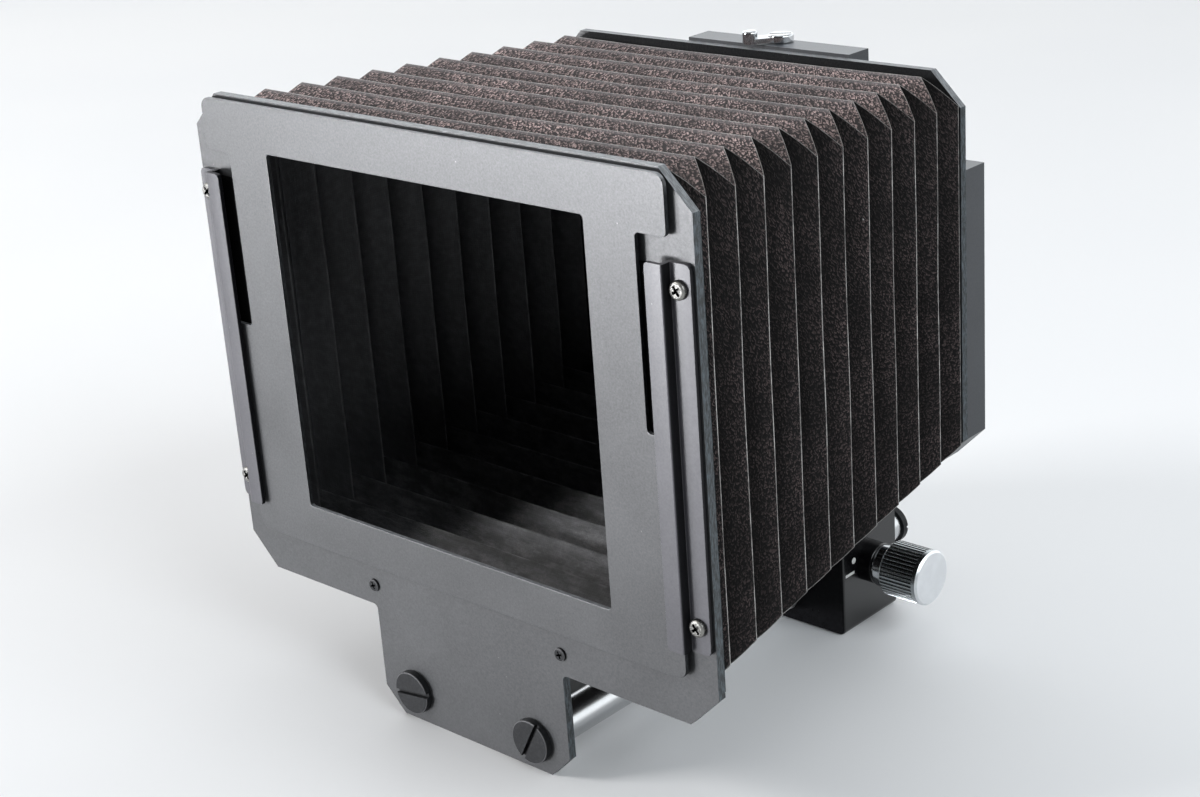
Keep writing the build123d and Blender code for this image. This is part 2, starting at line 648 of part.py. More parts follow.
SHOE_LOW = ROD_Z + ROD_R + 0.48
SHOE_HIGH = SHAFT_Z - (CAM_R + CAM_RISE) - 0.04
with BuildPart() as rod_shoes:
    with BuildSketch(at_z(SHOE_LOW)), Locations(*SHOE_SPOTS):
        Circle(2.0)
    extrude(amount=SHOE_HIGH - SHOE_LOW)


def grub_screw(x, low, high, radius, slot_l, slot_w, slot_depth):
    """Upright headless screw below the shaft, slotted at its lower end."""
    with BuildPart() as screw:
        with BuildSketch(at_z(low)), Locations((x, SHAFT_Y)):
            Circle(radius)
        extrude(amount=high - low)
        with BuildSketch(at_z(low - OVERCUT)), Locations((x, SHAFT_Y)):
            Rectangle(slot_l, slot_w)
        extrude(amount=slot_depth + OVERCUT, mode=Mode.SUBTRACT)
    return screw


# A grub screw from below keeps the cross shaft in the block: its tip stands in the shaft's neck.
shaft_retaining_screw = grub_screw(
    x=0, low=TAB_BOTTOM + 1.5, high=SHAFT_Z - NECK_R - 0.2,
    radius=1.5, slot_l=4, slot_w=0.6, slot_depth=0.9)

COLLAR_X0 = BLOCK_HALF + 3.8
with BuildPart() as knob_collar:
    with BuildSketch(at_x(COLLAR_X0)), Locations(SHAFT_AXIS):
        Circle(5.2)
        Circle(KNOB_FIT_R, mode=Mode.SUBTRACT)
    extrude(amount=KNOB_X0 - COLLAR_X0)
    outside_circles = knob_collar.edges().filter_by(GeomType.CIRCLE).filter_by(
        lambda edge: edge.radius > 5)
    fillet(outside_circles.sort_by(Axis.X)[0], radius=0.8)

# Knob: fluted, bored for the shaft and cross-drilled for its grub screw.
KNOB_R = 6.5
KNOB_L = KNOB_X1 - KNOB_X0
FLUTES = 44
GRUB_X = KNOB_X0 + 3.5
with BuildPart() as lock_knob:
    with BuildSketch(at_x(KNOB_X0)), Locations(SHAFT_AXIS):
        Circle(KNOB_R)
    extrude(amount=KNOB_L)
    chamfer(lock_knob.edges().filter_by(GeomType.CIRCLE), length=0.45)
    with BuildSketch(at_x(KNOB_X0 - 1)):
        with Locations(SHAFT_AXIS):
            with PolarLocations(KNOB_R + 0.12, FLUTES):
                Circle(0.32)
    extrude(amount=KNOB_L - 0.4, mode=Mode.SUBTRACT)
    with BuildSketch(at_x(KNOB_X0)), Locations(SHAFT_AXIS):
        Circle(KNOB_FIT_R)
    extrude(amount=7.0, mode=Mode.SUBTRACT)
    with BuildSketch(at_z(SHAFT_Z - KNOB_R - 1)), Locations((GRUB_X, SHAFT_Y)):
        Circle(1.05)
    extrude(amount=KNOB_R, mode=Mode.SUBTRACT)

knob_grub_screw = grub_screw(
    x=GRUB_X, low=SHAFT_Z - KNOB_R + 0.7, high=SHAFT_Z - KNOB_FIT_R,
    radius=1.0, slot_l=3, slot_w=0.45, slot_depth=0.7)

# ======================= export =======================
pieces = {
    "front_plate": front_plate, "front_bellows_frame": front_bellows_frame,
    "mask_plate": mask_plate, "left_rail": left_rail, "right_rail": right_rail,
    "left_felt": left_felt, "right_felt": right_felt, "rail_screws": rail_screws,
    "board_screws": board_screws, "rod_screws": rod_screws, "left_rod": left_rod,
    "right_rod": right_rod, "rod_stops": rod_stops, "bellows": bellows,
    "rear_frame": rear_frame, "frame_screws": frame_screws, "adapter_housing": adapter_housing,
    "ring_retainer": ring_retainer, "retainer_screws": retainer_screws, "lens_ring": lens_ring,
    "ring_shoe": ring_shoe, "lock_lever": lock_lever, "bracket": bracket,
    "bracket_screws": bracket_screws, "block_screws": block_screws, "rod_block": rod_block,
    "rod_bushes": rod_bushes, "knob_bush": knob_bush, "eccentric_shaft": eccentric_shaft,
    "rod_shoes": rod_shoes, "shaft_retaining_screw": shaft_retaining_screw,
    "knob_collar": knob_collar, "lock_knob": lock_knob, "knob_grub_screw": knob_grub_screw,
}
for node_name, piece in pieces.items():
    piece.part.label = node_name
    export_step(piece.part, f"parts/{node_name}.step")
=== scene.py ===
"""A bellows lens hood: a front standard with a mask plate, pleated bellows, and a rear standard
on two rods with a lens ring and a locking knob.

The hood looks along -Y, Z is up and +X is the right-hand side, where the knob is. Geometry is
written in millimetres and turned into metres with MM; the stage, lights and camera are in metres.
"""
import json
import math
from functools import cached_property

import bmesh
import bpy
import numpy as np
from mathutils import Matrix, Vector


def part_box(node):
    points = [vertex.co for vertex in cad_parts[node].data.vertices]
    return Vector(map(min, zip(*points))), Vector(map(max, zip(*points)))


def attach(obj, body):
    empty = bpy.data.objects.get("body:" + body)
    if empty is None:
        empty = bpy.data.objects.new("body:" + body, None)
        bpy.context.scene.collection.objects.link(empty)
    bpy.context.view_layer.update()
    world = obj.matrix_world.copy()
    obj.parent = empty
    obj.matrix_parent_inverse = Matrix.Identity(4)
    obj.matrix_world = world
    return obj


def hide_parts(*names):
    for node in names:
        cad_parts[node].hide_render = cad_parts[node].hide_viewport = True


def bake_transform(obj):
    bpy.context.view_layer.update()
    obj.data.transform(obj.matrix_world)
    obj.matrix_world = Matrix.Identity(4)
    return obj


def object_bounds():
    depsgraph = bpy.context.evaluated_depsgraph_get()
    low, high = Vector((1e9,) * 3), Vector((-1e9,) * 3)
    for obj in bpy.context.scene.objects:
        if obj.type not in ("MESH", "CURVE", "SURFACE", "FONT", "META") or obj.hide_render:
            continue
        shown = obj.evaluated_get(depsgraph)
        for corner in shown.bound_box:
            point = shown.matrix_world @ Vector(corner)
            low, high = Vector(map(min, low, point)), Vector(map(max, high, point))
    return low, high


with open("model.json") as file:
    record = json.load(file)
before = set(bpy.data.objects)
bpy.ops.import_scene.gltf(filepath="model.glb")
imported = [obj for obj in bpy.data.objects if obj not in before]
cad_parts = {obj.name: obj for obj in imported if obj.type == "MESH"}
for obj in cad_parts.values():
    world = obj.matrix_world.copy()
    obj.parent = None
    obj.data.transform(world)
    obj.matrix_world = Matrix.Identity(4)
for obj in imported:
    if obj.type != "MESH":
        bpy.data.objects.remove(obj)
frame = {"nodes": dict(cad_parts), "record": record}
CAD_LO, CAD_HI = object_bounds()
NODES = frame["nodes"]
BODY = {n: body for body, nodes in frame["record"]["behaviour"]["bodies"].items() for n in nodes}
MM = 0.001
FRONT_Y = -114.0                 # front face of the front plate, mm
FLOOR_Z = CAD_LO.z
X, Y, Z = range(3)


# ------------------------------------------------------------------ node graphs
def shade(color, factor):
    return tuple(c * factor for c in color)


class Graph:
    """Short calls for adding nodes to a tree. A value may be a number, a colour or a socket."""

    def __init__(self, tree):
        self.tree = tree

    def put(self, socket, value):
        if isinstance(value, bpy.types.NodeSocket):
            self.tree.links.new(value, socket)
        elif socket.type == "RGBA":
            socket.default_value = (*value, 1)
        else:
            socket.default_value = value

    def node(self, kind, inputs=None, **settings):
        node = self.tree.nodes.new("ShaderNode" + kind)
        for name, value in settings.items():
            setattr(node, name, value)
        for key, value in (inputs or {}).items():
            self.put(node.inputs[key], value)
        return node

    def ramp(self, value, span, to=(0.0, 1.0), smooth=True):
        """Runs from to[0] at span[0] to to[1] at span[1], and stays level outside."""
        inputs = {"Value": value, "From Min": span[0], "From Max": span[1],
                  "To Min": to[0], "To Max": to[1]}
        kind = "SMOOTHSTEP" if smooth else "LINEAR"
        return self.node("MapRange", inputs, interpolation_type=kind).outputs["Result"]

    def sep(self, vector):
        return self.node("SeparateXYZ", {0: vector}).outputs


class Mat(Graph):
    """A node material round one Principled shader. Object coordinates are in millimetres."""

    SURFACE = {"color": "Base Color", "metal": "Metallic", "rough": "Roughness",
               "spec": "Specular IOR Level", "normal": "Normal"}

    def __init__(self, name):
        self.material = bpy.data.materials.new(name)
        self.material.use_nodes = True
        super().__init__(self.material.node_tree)
        self.tree.nodes.clear()
        self.shader = self.node("BsdfPrincipled")
        self.output = self.node("OutputMaterial", {0: self.shader.outputs[0]})

    @cached_property
    def coords(self):
        return self.node("TexCoord").outputs

    @cached_property
    def mm(self):
        inputs = {"Vector": self.coords["Object"], "Scale": (1000, 1000, 1000)}
        return self.node("Mapping", inputs).outputs["Vector"]

    @property
    def normal(self):
        return self.coords["Normal"]

    def noise(self, scale, detail=2.0, rough=0.5, vec=None, out="Fac"):
        inputs = {"Vector": vec or self.mm, "Scale": scale, "Detail": detail, "Roughness": rough}
        return self.node("TexNoise", inputs).outputs[out]

    def voronoi(self, scale, vec=None, out="Distance", randomness=1.0, flat=False):
        inputs = {"Vector": vec or self.mm, "Scale": scale, "Randomness": randomness}
        kind = "2D" if flat else "3D"
        return self.node("TexVoronoi", inputs, voronoi_dimensions=kind).outputs[out]

    def math(self, operation, a, b=0.0, clamp=False):
        inputs = {0: a, 1: b, 2: 0.0}
        return self.node("Math", inputs, operation=operation, use_clamp=clamp).outputs[0]

    def add(self, a, b):
        return self.math("ADD", a, b)

    def sub(self, a, b):
        return self.math("SUBTRACT", a, b)

    def mul(self, a, b):
        return self.math("MULTIPLY", a, b)

    def abs(self, value):
        return self.math("ABSOLUTE", value)

    def max(self, a, b):
        return self.math("MAXIMUM", a, b)

    def length(self, a, b):
        return self.math("SQRT", self.add(self.mul(a, a), self.mul(b, b)))

    def swing(self, value, amount):
        """A 0 to 1 texture turned into a change of amount, centred on zero."""
        return self.mul(self.sub(value, 0.5), amount)

    def cut(self, value, where, amount):
        """Takes the share amount off value where the mask is 1."""
        return self.mul(value, self.sub(1.0, self.mul(where, amount)))

    def mix(self, factor, a, b):
        """a where factor is 0, b where it is 1."""
        return self.node("Mix", {"Factor": factor, 6: a, 7: b}, data_type="RGBA").outputs[2]

    def comb(self, x, y, z):
        return self.node("CombineXYZ", {0: x, 1: y, 2: z}).outputs[0]

    def attr(self, name):
        return self.node("Attribute", attribute_name=name).outputs["Vector"]

    def bump(self, height, depth, strength):
        """depth is in metres."""
        inputs = {"Height": height, "Distance": depth, "Strength": strength}
        return self.node("Bump", inputs).outputs[0]

    def facing(self, axis, span):
        """A mask from how squarely the surface faces along an axis, either way."""
        return self.ramp(self.abs(self.sep(self.normal)[axis]), span=span)

    def finish(self, **surface):
        for name, value in surface.items():
            self.put(self.shader.inputs[self.SURFACE[name]], value)
        return self.material


# ------------------------------------------------------------------ paint
def bare_edges(mat, color, rough, edge):
    """Bare, rough edges where the sheet was cut, with light chips along their corners that are
    partly paint wear and partly a painted highlight line; the cut faces that face up are painted
    lighter, as painted light.
    """
    normal = mat.sep(mat.normal)
    facing = mat.abs(normal[Y])
    turn = mat.mul(mat.ramp(facing, span=(0.975, 0.90)), mat.ramp(facing, span=(0.30, 0.55)))
    chipping = mat.noise(scale=0.9, detail=4, rough=0.75)
    # light chips on the broken corners: partly paint wear, partly a painted highlight along the
    # edges
    chip_and_highlight = mat.mul(turn, mat.ramp(chipping, span=(0.36, 0.60), to=(0.15, 0.85)))
    side = mat.ramp(mat.abs(normal[Y]), span=(0.60, 0.35))
    # milling marks, squeezed along Y
    stretch = (mat.mul(mat.sep(mat.mm)[axis], s) for axis, s in enumerate((0.5, 2.5, 0.5)))
    mill = mat.noise(scale=1.0, detail=3, rough=0.7, vec=mat.comb(*stretch))
    cut = mat.mix(mat.ramp(mill, span=(0.42, 0.62)), shade(edge, 0.35), shade(edge, 2.6))
    # painted light: cut faces that face up get a lighter colour
    top = mat.mix(mat.ramp(mill, span=(0.42, 0.62)), (0.13, 0.137, 0.145), (0.24, 0.25, 0.262))
    cut = mat.mix(mat.ramp(normal[Z], span=(0.5, 0.8)), cut, top)
    color = mat.mix(chip_and_highlight, mat.mix(side, color, cut), (0.17, 0.17, 0.175))
    return color, mat.add(rough, mat.mul(side, 0.12))


def paint(name, base, rough=0.33, spec=0.5, grain=1.0, edge=(0.021, 0.027, 0.031),
          wall=False, cheek=0.0):
    """Satin black paint: a fine bright speckle, faint cloudiness and sparse dust.

    edge is the colour of cut edges, or None. wall paints shade on the faces towards +X and -X,
    colouring them near black and taking most of their shine.
    cheek takes that share of shine off those faces and paints light on the top, colouring it
    lighter.
    """
    mat = Mat(name)
    speckle = mat.noise(scale=3.2, detail=3, rough=0.65)
    fine = mat.noise(scale=7.5, detail=1, rough=0.5)
    cloud = mat.noise(scale=0.035, detail=3, rough=0.55)
    color = mat.mix(mat.ramp(cloud, span=(0.35, 0.68)), shade(base, 0.90), shade(base, 1.10))
    bright = mat.mul(mat.ramp(speckle, span=(0.60, 0.78)), 0.30 * grain)
    color = mat.mix(bright, color, tuple(c * 2.4 + 0.02 for c in base))
    dust = mat.ramp(mat.voronoi(scale=0.16), span=(0.035, 0.015))
    color = mat.mix(mat.mul(dust, 0.20), color, (0.42, 0.42, 0.42))
    rough = mat.add(mat.swing(fine, amount=0.16), rough)
    rough = mat.add(rough, mat.swing(cloud, amount=0.10))
    if edge:
        color, rough = bare_edges(mat, color, rough, edge)
    height = mat.add(mat.mul(speckle, 0.7), mat.mul(fine, 0.3))
    patches = mat.noise(scale=2.1, detail=2, rough=0.7)
    spec = mat.add(spec, mat.swing(patches, amount=0.55 * grain))
    if wall:
        # painted shade: the step wall of a rail, facing +X or -X, is coloured near black
        step = mat.facing(X, span=(0.55, 0.85))
        color = mat.mix(step, color, (0.006, 0.006, 0.007))
        spec = mat.cut(spec, step, amount=0.80)
    if cheek:
        spec = mat.cut(spec, mat.facing(X, span=(0.55, 0.85)), amount=cheek)
        # painted light: faces that face up are coloured lighter
        top = mat.ramp(mat.sep(mat.normal)[Z], span=(0.5, 0.85))
        color = mat.mix(top, color, shade(base, 2.1))
    return mat.finish(color=color, rough=rough, spec=spec, metal=0.0,
                      normal=mat.bump(height, depth=0.00006, strength=0.20 * grain))


# Places on the right-hand side, mm as (y, z)
KNOB_AXIS = (-18.5, -70.6)
INDEX_LINE = (-26.2, -71.3)
INDEX_DOT = (-24.6, -68.4)
BLOCK_SIDE_X = (36.3, 36.5)      # the index marks fade in between these x


def from_point(mat, place, point):
    """Signed distances along Y and Z from a (y, z) point."""
    return mat.sub(place[Y], point[0]), mat.sub(place[Z], point[1])


def block_black():
    """Semi-gloss black with a white index line and a dot near the knob."""
    mat = Mat("semi_gloss_black")
    grain = mat.noise(scale=0.9, detail=4, rough=0.6)
    cloud = mat.noise(scale=0.03, detail=2, rough=0.5)
    color = mat.mix(mat.ramp(grain, span=(0.35, 0.7)),
                    (0.0022, 0.0022, 0.0026), (0.0040, 0.0040, 0.0047))
    place = mat.sep(mat.mm)
    on_side = mat.ramp(place[X], span=BLOCK_SIDE_X, smooth=False)
    dy, dz = from_point(mat, place, INDEX_LINE)
    # the spans are the soft outlines of the marks: half length, half width and radius
    line = mat.mul(mat.ramp(mat.abs(dy), span=(1.75, 1.62)),
                   mat.ramp(mat.abs(dz), span=(0.40, 0.30)))
    dot = mat.ramp(mat.length(*from_point(mat, place, INDEX_DOT)), span=(0.80, 0.70))
    mark = mat.mul(mat.max(line, dot), on_side)
    missing = mat.noise(scale=3.0, detail=3, rough=0.6)
    mark = mat.mul(mark, mat.ramp(missing, span=(0.30, 0.42)))
    front = mat.ramp(mat.sep(mat.normal)[Y], span=(-0.45, -0.85))
    return mat.finish(color=mat.mix(mark, color, (0.62, 0.62, 0.60)),
                      rough=mat.add(0.17, mat.mul(cloud, 0.12)),
                      spec=mat.sub(0.62, mat.mul(front, 0.57)),
                      normal=mat.bump(grain, depth=0.00005, strength=0.10))


# ------------------------------------------------------------------ metals
def smeared(mat, tint):
    """Finger smears: their texture, and the tint with them on it."""
    smear = mat.noise(scale=0.22, detail=3, rough=0.6)
    return smear, mat.mix(mat.ramp(smear, span=(0.35, 0.7)), shade(tint, 0.93), tint)


def bright_chrome():
    mat = Mat("bright_chrome")
    smear, color = smeared(mat, tint=(0.55, 0.565, 0.58))
    ripple = mat.noise(scale=1.6, detail=2, rough=0.5)
    return mat.finish(color=color, metal=1.0, rough=mat.add(0.07, mat.mul(smear, 0.09)),
                      normal=mat.bump(ripple, depth=0.00001, strength=0.05))


def turned_chrome():
    """Fine rings on the end faces; the knurled rim is coloured darker as a painted reflection of
    dark surroundings, with painted shade in its grooves and painted light on the lands that face
    down.
    """
    mat = Mat("turned_chrome")
    smear, color = smeared(mat, tint=(0.80, 0.82, 0.84))
    radius = mat.length(*from_point(mat, mat.sep(mat.mm), KNOB_AXIS))
    rings = mat.noise(scale=9.0, detail=2, rough=0.6, vec=mat.comb(radius, 0.0, 0.0))
    face = mat.facing(X, span=(0.45, 0.65))
    # painted light on the lands that face down; the grey of the other lands is a painted dark
    # reflection
    land = mat.mix(mat.ramp(mat.sep(mat.normal)[Z], span=(-0.25, -0.85)),
                   (0.36, 0.385, 0.395), (0.56, 0.58, 0.60))
    # painted shade: the knurl's grooves are coloured near black
    knurl = mat.mix(mat.ramp(radius, span=(6.2, 6.5)), (0.03, 0.035, 0.036), land)
    rough = mat.add(mat.mul(face, 0.14), mat.add(0.20, mat.mul(smear, 0.07)))
    return mat.finish(color=mat.mix(face, knurl, color), metal=1.0, rough=rough,
                      normal=mat.bump(mat.mul(rings, face), depth=0.00002, strength=0.12))


def recess_shade(mat, distance=0.0007):
    """1 in the open, 0 deep in a recess: the mask for painted shade in recesses. distance is in
    metres.
    """
    occlusion = mat.node("AmbientOcclusion", {"Distance": distance}, samples=6, only_local=True)
    return mat.ramp(occlusion.outputs["AO"], span=(0.45, 0.80))


def rim(mat):
    """1 on the broken edge of a head that faces forwards or back."""
    facing = mat.abs(mat.sep(mat.normal)[Y])
    return mat.mul(mat.ramp(facing, span=(0.97, 0.88)), mat.ramp(facing, span=(0.25, 0.50)))


def metal(name, base, rough, worn=0.0, grain=1.0):
    """Blackened or turned metal; worn brightens its edges and high spots with scratches, and
    paints shade into recesses.
    """
    mat = Mat(name)
    mottle = mat.noise(scale=2.2, detail=4, rough=0.7)
    color = mat.mix(mat.ramp(mottle, span=(0.38, 0.68)),
                    shade(base, 1 - 0.25 * grain), shade(base, 1 + 0.2 * grain))
    if worn:
        edge = rim(mat)
        scratch = mat.ramp(mat.noise(scale=5.0, detail=3, rough=0.7), span=(0.45, 0.62))
        wear = mat.math("MULTIPLY", mat.max(edge, mat.mul(scratch, 0.75)), worn, clamp=True)
        color = mat.mix(wear, color, (0.33, 0.325, 0.305))
        # painted shade: recesses, such as the cross of a screw head, are coloured near black
        color = mat.mix(recess_shade(mat), (0.004, 0.004, 0.004), color)
    pits = mat.noise(scale=3.0, detail=3, rough=0.6)
    return mat.finish(color=color, metal=1.0,
                      rough=mat.add(rough, mat.swing(mottle, amount=0.25 * grain)),
                      normal=mat.bump(pits, depth=0.00003, strength=0.15 * grain))


def blackened_steel():
    mat = Mat("blackened_steel")
    mottle = mat.noise(scale=1.8, detail=4, rough=0.65)
    color = mat.mix(mat.ramp(mottle, span=(0.4, 0.7)),
                    (0.011, 0.0115, 0.0125), (0.020, 0.0205, 0.022))
    color = mat.mix(mat.mul(rim(mat), 0.45), color, (0.16, 0.16, 0.165))
    # painted shade: recesses, such as the cross of a screw head, are coloured near black
    color = mat.mix(recess_shade(mat, distance=0.0009), (0.0015, 0.0015, 0.0015), color)
    pits = mat.noise(scale=2.5, detail=3, rough=0.6)
    return mat.finish(color=color, rough=mat.add(0.30, mat.mul(mottle, 0.20)), spec=0.13,
                      normal=mat.bump(pits, depth=0.00003, strength=0.08))


# ------------------------------------------------------------------ cloths
def black_felt():
    mat = Mat("black_felt")
    fibres = mat.noise(scale=4.0, detail=5, rough=0.8)
    color = mat.mix(fibres, (0.0015, 0.0015, 0.0016), (0.006, 0.006, 0.006))
    return mat.finish(color=color, rough=1.0, spec=0.0,
                      normal=mat.bump(fibres, depth=0.0002, strength=0.6))


def bookcloth():
    """Pebbled bookcloth over card. 'fold' holds the distances in mm to the outward fold, the
    inward fold and the corner fold; 'cloth' holds flat coordinates along and across the pleat."""
    mat = Mat("pebbled_bookcloth")
    to_ridge, to_valley, to_corner = mat.sep(mat.attr("fold"))
    cloth = mat.attr("cloth")
    # grain: short raised strokes along the pleat, their rows bent by a slow warp
    warp = mat.noise(scale=0.75, detail=2, vec=cloth, out="Color")
    warped = mat.node("VectorMath", {0: warp, 1: (1.7, 1.7, 0.0), 2: cloth},
                      operation="MULTIPLY_ADD").outputs[0]
    along, across, _ = mat.sep(warped)
    slant = mat.add(mat.mul(across, 2.30), mat.mul(along, 0.45))
    cells = {"scale": 1.0, "vec": mat.comb(mat.mul(along, 1.25), slant, 0.0),
             "randomness": 0.9, "flat": True}
    centre = mat.voronoi(**cells)
    chance = mat.sep(mat.voronoi(out="Color", **cells))[X]
    small = mat.noise(scale=3.4, detail=3, rough=0.62, vec=warped)
    mark = mat.mul(mat.ramp(centre, span=(0.50, 0.18)),
                   mat.ramp(chance, span=(0.05, 0.95), to=(0.25, 1.0)))
    big = mat.noise(scale=0.055, detail=3, rough=0.6, vec=cloth)

    # folds wear smooth: a narrow bright line on the very edge, and a wider smooth band beside it
    # that is coloured grey only on panels facing up, as painted sheen
    jag = mat.sub(mat.noise(scale=1.1, detail=3, rough=0.75, vec=cloth), 0.5)
    line = mat.ramp(mat.add(to_ridge, mat.mul(jag, 0.42)), span=(0.30, 0.06))
    corner_line = mat.ramp(mat.add(to_corner, mat.mul(jag, 0.30)), span=(0.26, 0.05))
    patchy = mat.ramp(mat.noise(scale=0.16, detail=4, rough=0.7, vec=cloth),
                      span=(0.32, 0.62), to=(0.30, 1.0))
    wear = mat.mul(mat.max(line, mat.mul(corner_line, 0.9)), patchy)
    band = mat.ramp(mat.add(to_ridge, mat.swing(small, amount=0.5)), span=(1.15, 0.65))
    # mask of the panels that face up, which get painted light
    up = mat.ramp(mat.sep(mat.normal)[Z], span=(0.15, 0.6))

    # brown-black, darker towards each inward fold as painted shade, and much lighter on the
    # panels that face up as painted light, their raised marks painted as bright glints
    # painted shade: each panel darkest at its inward fold, lighter towards its outward fold,
    # times a random tone
    valley_shade_and_tone = mat.ramp(to_valley, span=(0.8, 7.0), to=(0.10, 1.85), smooth=False)
    valley_shade_and_tone = mat.mul(valley_shade_and_tone, mat.ramp(big, span=(0.32, 0.66), to=(0.70, 1.35)))
    # painted light: ground and raised marks are far lighter on panels that face up
    ground = mat.mix(up, (0.0028, 0.0025, 0.0027), (0.026, 0.0215, 0.0225))
    high = mat.mix(up, (0.048, 0.036, 0.035), (0.47, 0.355, 0.338))
    mark_share = mat.mul(mark, mat.ramp(big, span=(0.3, 0.7), to=(0.65, 1.0)))
    color = mat.mix(mark_share, ground, high)
    light = mat.add(mat.cut(valley_shade_and_tone, up, amount=0.75), mat.mul(up, 0.75))
    color = mat.node("VectorMath", {0: color, "Scale": light}, operation="SCALE").outputs[0]
    # painted sheen: the smooth band by the outward fold is greyed on panels that face up
    color = mat.mix(mat.mul(band, mat.mul(up, 0.65)), color, (0.130, 0.123, 0.126))
    color = mat.mix(mat.mul(wear, 0.90), color, (0.50, 0.49, 0.475))
    dust = mat.ramp(mat.voronoi(scale=0.10, vec=cloth), span=(0.030, 0.012))
    color = mat.mix(mat.mul(dust, 0.6), color, (0.5, 0.5, 0.5))

    smooth = mat.max(wear, mat.mul(band, mat.mul(up, 0.9)))
    height = mat.cut(mat.add(mark, mat.mul(small, 0.4)), smooth, amount=0.85)
    return mat.finish(color=color, rough=mat.add(0.56, mat.mul(small, 0.2)),
                      spec=mat.add(0.20, mat.mul(up, 0.15)),
                      normal=mat.bump(height, depth=0.00011, strength=0.8))


def black_lining():
    """Black cloth inside the bellows: a fine plain weave that catches a little light."""
    mat = Mat("black_lining")
    cloth = mat.attr("cloth")
    along, across, _ = mat.sep(cloth)

    def threads(place, scale, sway, pitch):
        """Waves of pitch radians per mm, swayed by a noise."""
        shift = mat.mul(mat.noise(scale=scale, vec=cloth), sway)
        return mat.math("SINE", mat.mul(mat.add(place, shift), pitch))

    weave = mat.add(mat.mul(threads(along, scale=0.4, sway=0.8, pitch=11.0), 0.5),
                    mat.mul(threads(across, scale=0.5, sway=0.6, pitch=14.0), 0.5))
    cloud = mat.noise(scale=0.5, detail=4, rough=0.65, vec=cloth)
    stretched = mat.comb(mat.mul(along, 0.40), mat.mul(across, 1.4), 0.0)
    rubbed = mat.noise(scale=0.30, detail=5, rough=0.70, vec=stretched)
    grain = mat.noise(scale=2.2, detail=3, rough=0.7, vec=cloth)
    pattern = mat.add(mat.mul(weave, 0.10), cloud)
    color = mat.mix(mat.ramp(pattern, span=(0.3, 0.9)),
                    (0.030, 0.030, 0.032), (0.060, 0.060, 0.063))
    # pale streaks, strongest on the level panels of the lower half
    level_panel = mat.mul(mat.facing(Z, span=(0.30, 0.70)),
                          mat.ramp(mat.sep(mat.mm)[Z], span=(0.0, -20.0)))
    streak = mat.mul(mat.ramp(rubbed, span=(0.38, 0.66)),
                     mat.ramp(grain, span=(0.35, 0.65), to=(0.55, 1.0)))
    streak = mat.mul(streak, mat.add(0.10, mat.mul(level_panel, 0.70)))
    color = mat.mix(streak, color, (0.150, 0.150, 0.156))
    # the folds that point into the bellows are rubbed pale
    fold = mat.ramp(mat.sep(mat.attr("fold"))[Y], span=(0.45, 0.1))
    fold = mat.mul(fold, mat.mul(mat.ramp(rubbed, span=(0.38, 0.62)), 0.34))
    height = mat.add(grain, mat.mul(rubbed, 2.0))
    return mat.finish(color=mat.mix(fold, color, (0.20, 0.20, 0.20)), rough=0.60, spec=0.40,
                      normal=mat.bump(height, depth=0.00018, strength=0.6))


MATERIALS = {
    "front": paint("satin_black_front", base=(0.034, 0.035, 0.037)),
    # painted shade: the mask's cut edges are coloured near black, the shade they lie in
    "mask": paint("satin_black_mask", base=(0.036, 0.037, 0.039), edge=(0.010, 0.011, 0.012)),
    "rail": paint("satin_black_rail", base=(0.036, 0.0350, 0.042), grain=0.7, edge=None,
                  spec=0.60, wall=True),
    "frame": paint("satin_black_frame", base=(0.013, 0.014, 0.015), spec=0.28),
    "housing": paint("satin_black_housing", base=(0.030, 0.033, 0.038), rough=0.38, spec=0.75,
                     edge=None, grain=0.8, cheek=0.5),
    "block": block_black(),
    "anodised": paint("black_anodised", base=(0.022, 0.022, 0.024), rough=0.38, edge=None,
                      grain=0.6),
    "black_screw": blackened_steel(),
    "worn_screw": metal("worn_blackened_steel", base=(0.070, 0.069, 0.066), rough=0.42,
                        worn=0.72),
    "steel": metal("ground_steel", base=(0.55, 0.55, 0.54), rough=0.28),
    "brass": metal("turned_brass", base=(0.72, 0.52, 0.24), rough=0.30),
    "chrome": bright_chrome(),
    "knob": turned_chrome(),
    "rod": metal("ground_rod", base=(0.55, 0.56, 0.57), rough=0.26, grain=0.10),
    "felt": black_felt(),
    "leather": bookcloth(),
    "lining": black_lining(),
}


# ------------------------------------------------------------------ object helpers
def use(obj, *materials):
    obj.data.materials.clear()
    for material in materials:
        obj.data.materials.append(material)


def add_object(name, data):
    obj = bpy.data.objects.new(name, data)
    bpy.context.scene.collection.objects.link(obj)
    return obj


def mesh_object(name, bm):
    mesh = bpy.data.meshes.new(name)
    bm.to_mesh(mesh)
    bm.free()
    return add_object(name, mesh)


def stand_for(obj, node, material):
    """Lets obj take the place of a rigid CAD node."""
    use(obj, MATERIALS[material])
    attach(obj, BODY[node])
    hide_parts(node)


def is_sharp(edge, angle):
    return len(edge.link_faces) == 2 and edge.calc_face_angle(0) > math.radians(angle)


def smooth_below(bm, angle):
    """Smooth shading, except over edges that turn by more than angle degrees."""
    for face in bm.faces:
        face.smooth = True
    for edge in bm.edges:
        edge.smooth = not is_sharp(edge, angle)


def split_ngons(bm):
    bmesh.ops.triangulate(bm, faces=[f for f in bm.faces if len(f.verts) > 4])


# ------------------------------------------------------------------ dressed copies of CAD nodes
BEVEL_ANGLE = 28                 # edges sharper than this are broken, degrees
SHADE_ANGLE = 34                 # edges sharper than this shade as creases, degrees
AREA_TOLERANCE = 0.03            # allowed change of area, as a share
# x of an edge seam, mm, that keeps the flat ring round a window from becoming one n-gon
SEAM_X = {"mask_plate": 0.0}

